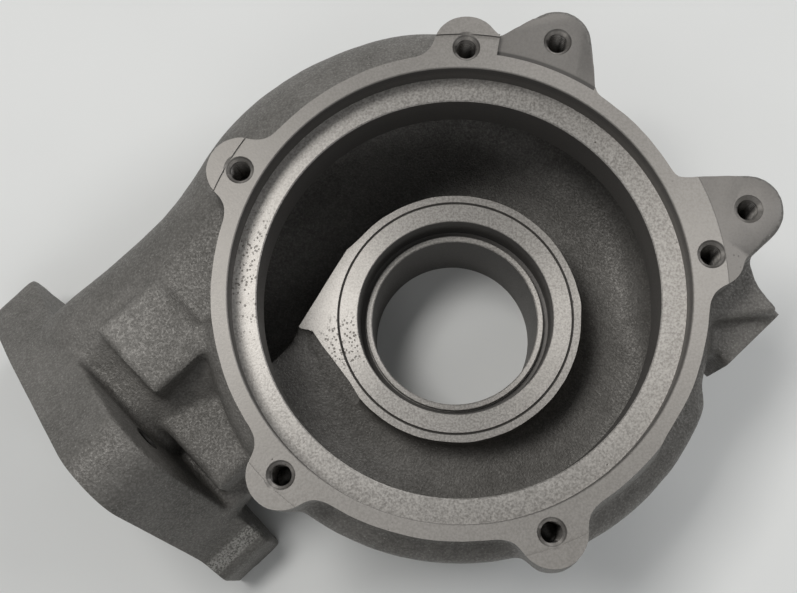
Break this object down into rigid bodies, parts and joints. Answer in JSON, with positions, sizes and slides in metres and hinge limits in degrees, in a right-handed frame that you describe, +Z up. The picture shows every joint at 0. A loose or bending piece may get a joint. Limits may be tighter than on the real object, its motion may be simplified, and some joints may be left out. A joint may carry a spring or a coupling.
{
  "type": "turbine_housing",
  "caption": "Cast-iron turbine housing of a turbocharger: a spiral gas chamber round a bored hub, open toward the bearing housing, fed through a tangential inlet with a triangular flange",
  "frame": {"origin": "the bore's axis in the outlet face, on which the housing stands", "axes": "+Z up out of the mouth toward the bearing housing, +X to the side ear, +Y toward the rear ear"},
  "size_m": [0.2236, 0.1527, 0.0839],
  "materials": {
    "cast_skin": "sand cast, shot blasted",
    "machined_face": "turned and milled bright"
  },
  "bodies": {
    "root": {"turbine_housing": "cast_skin"}
  },
  "joints": []
}
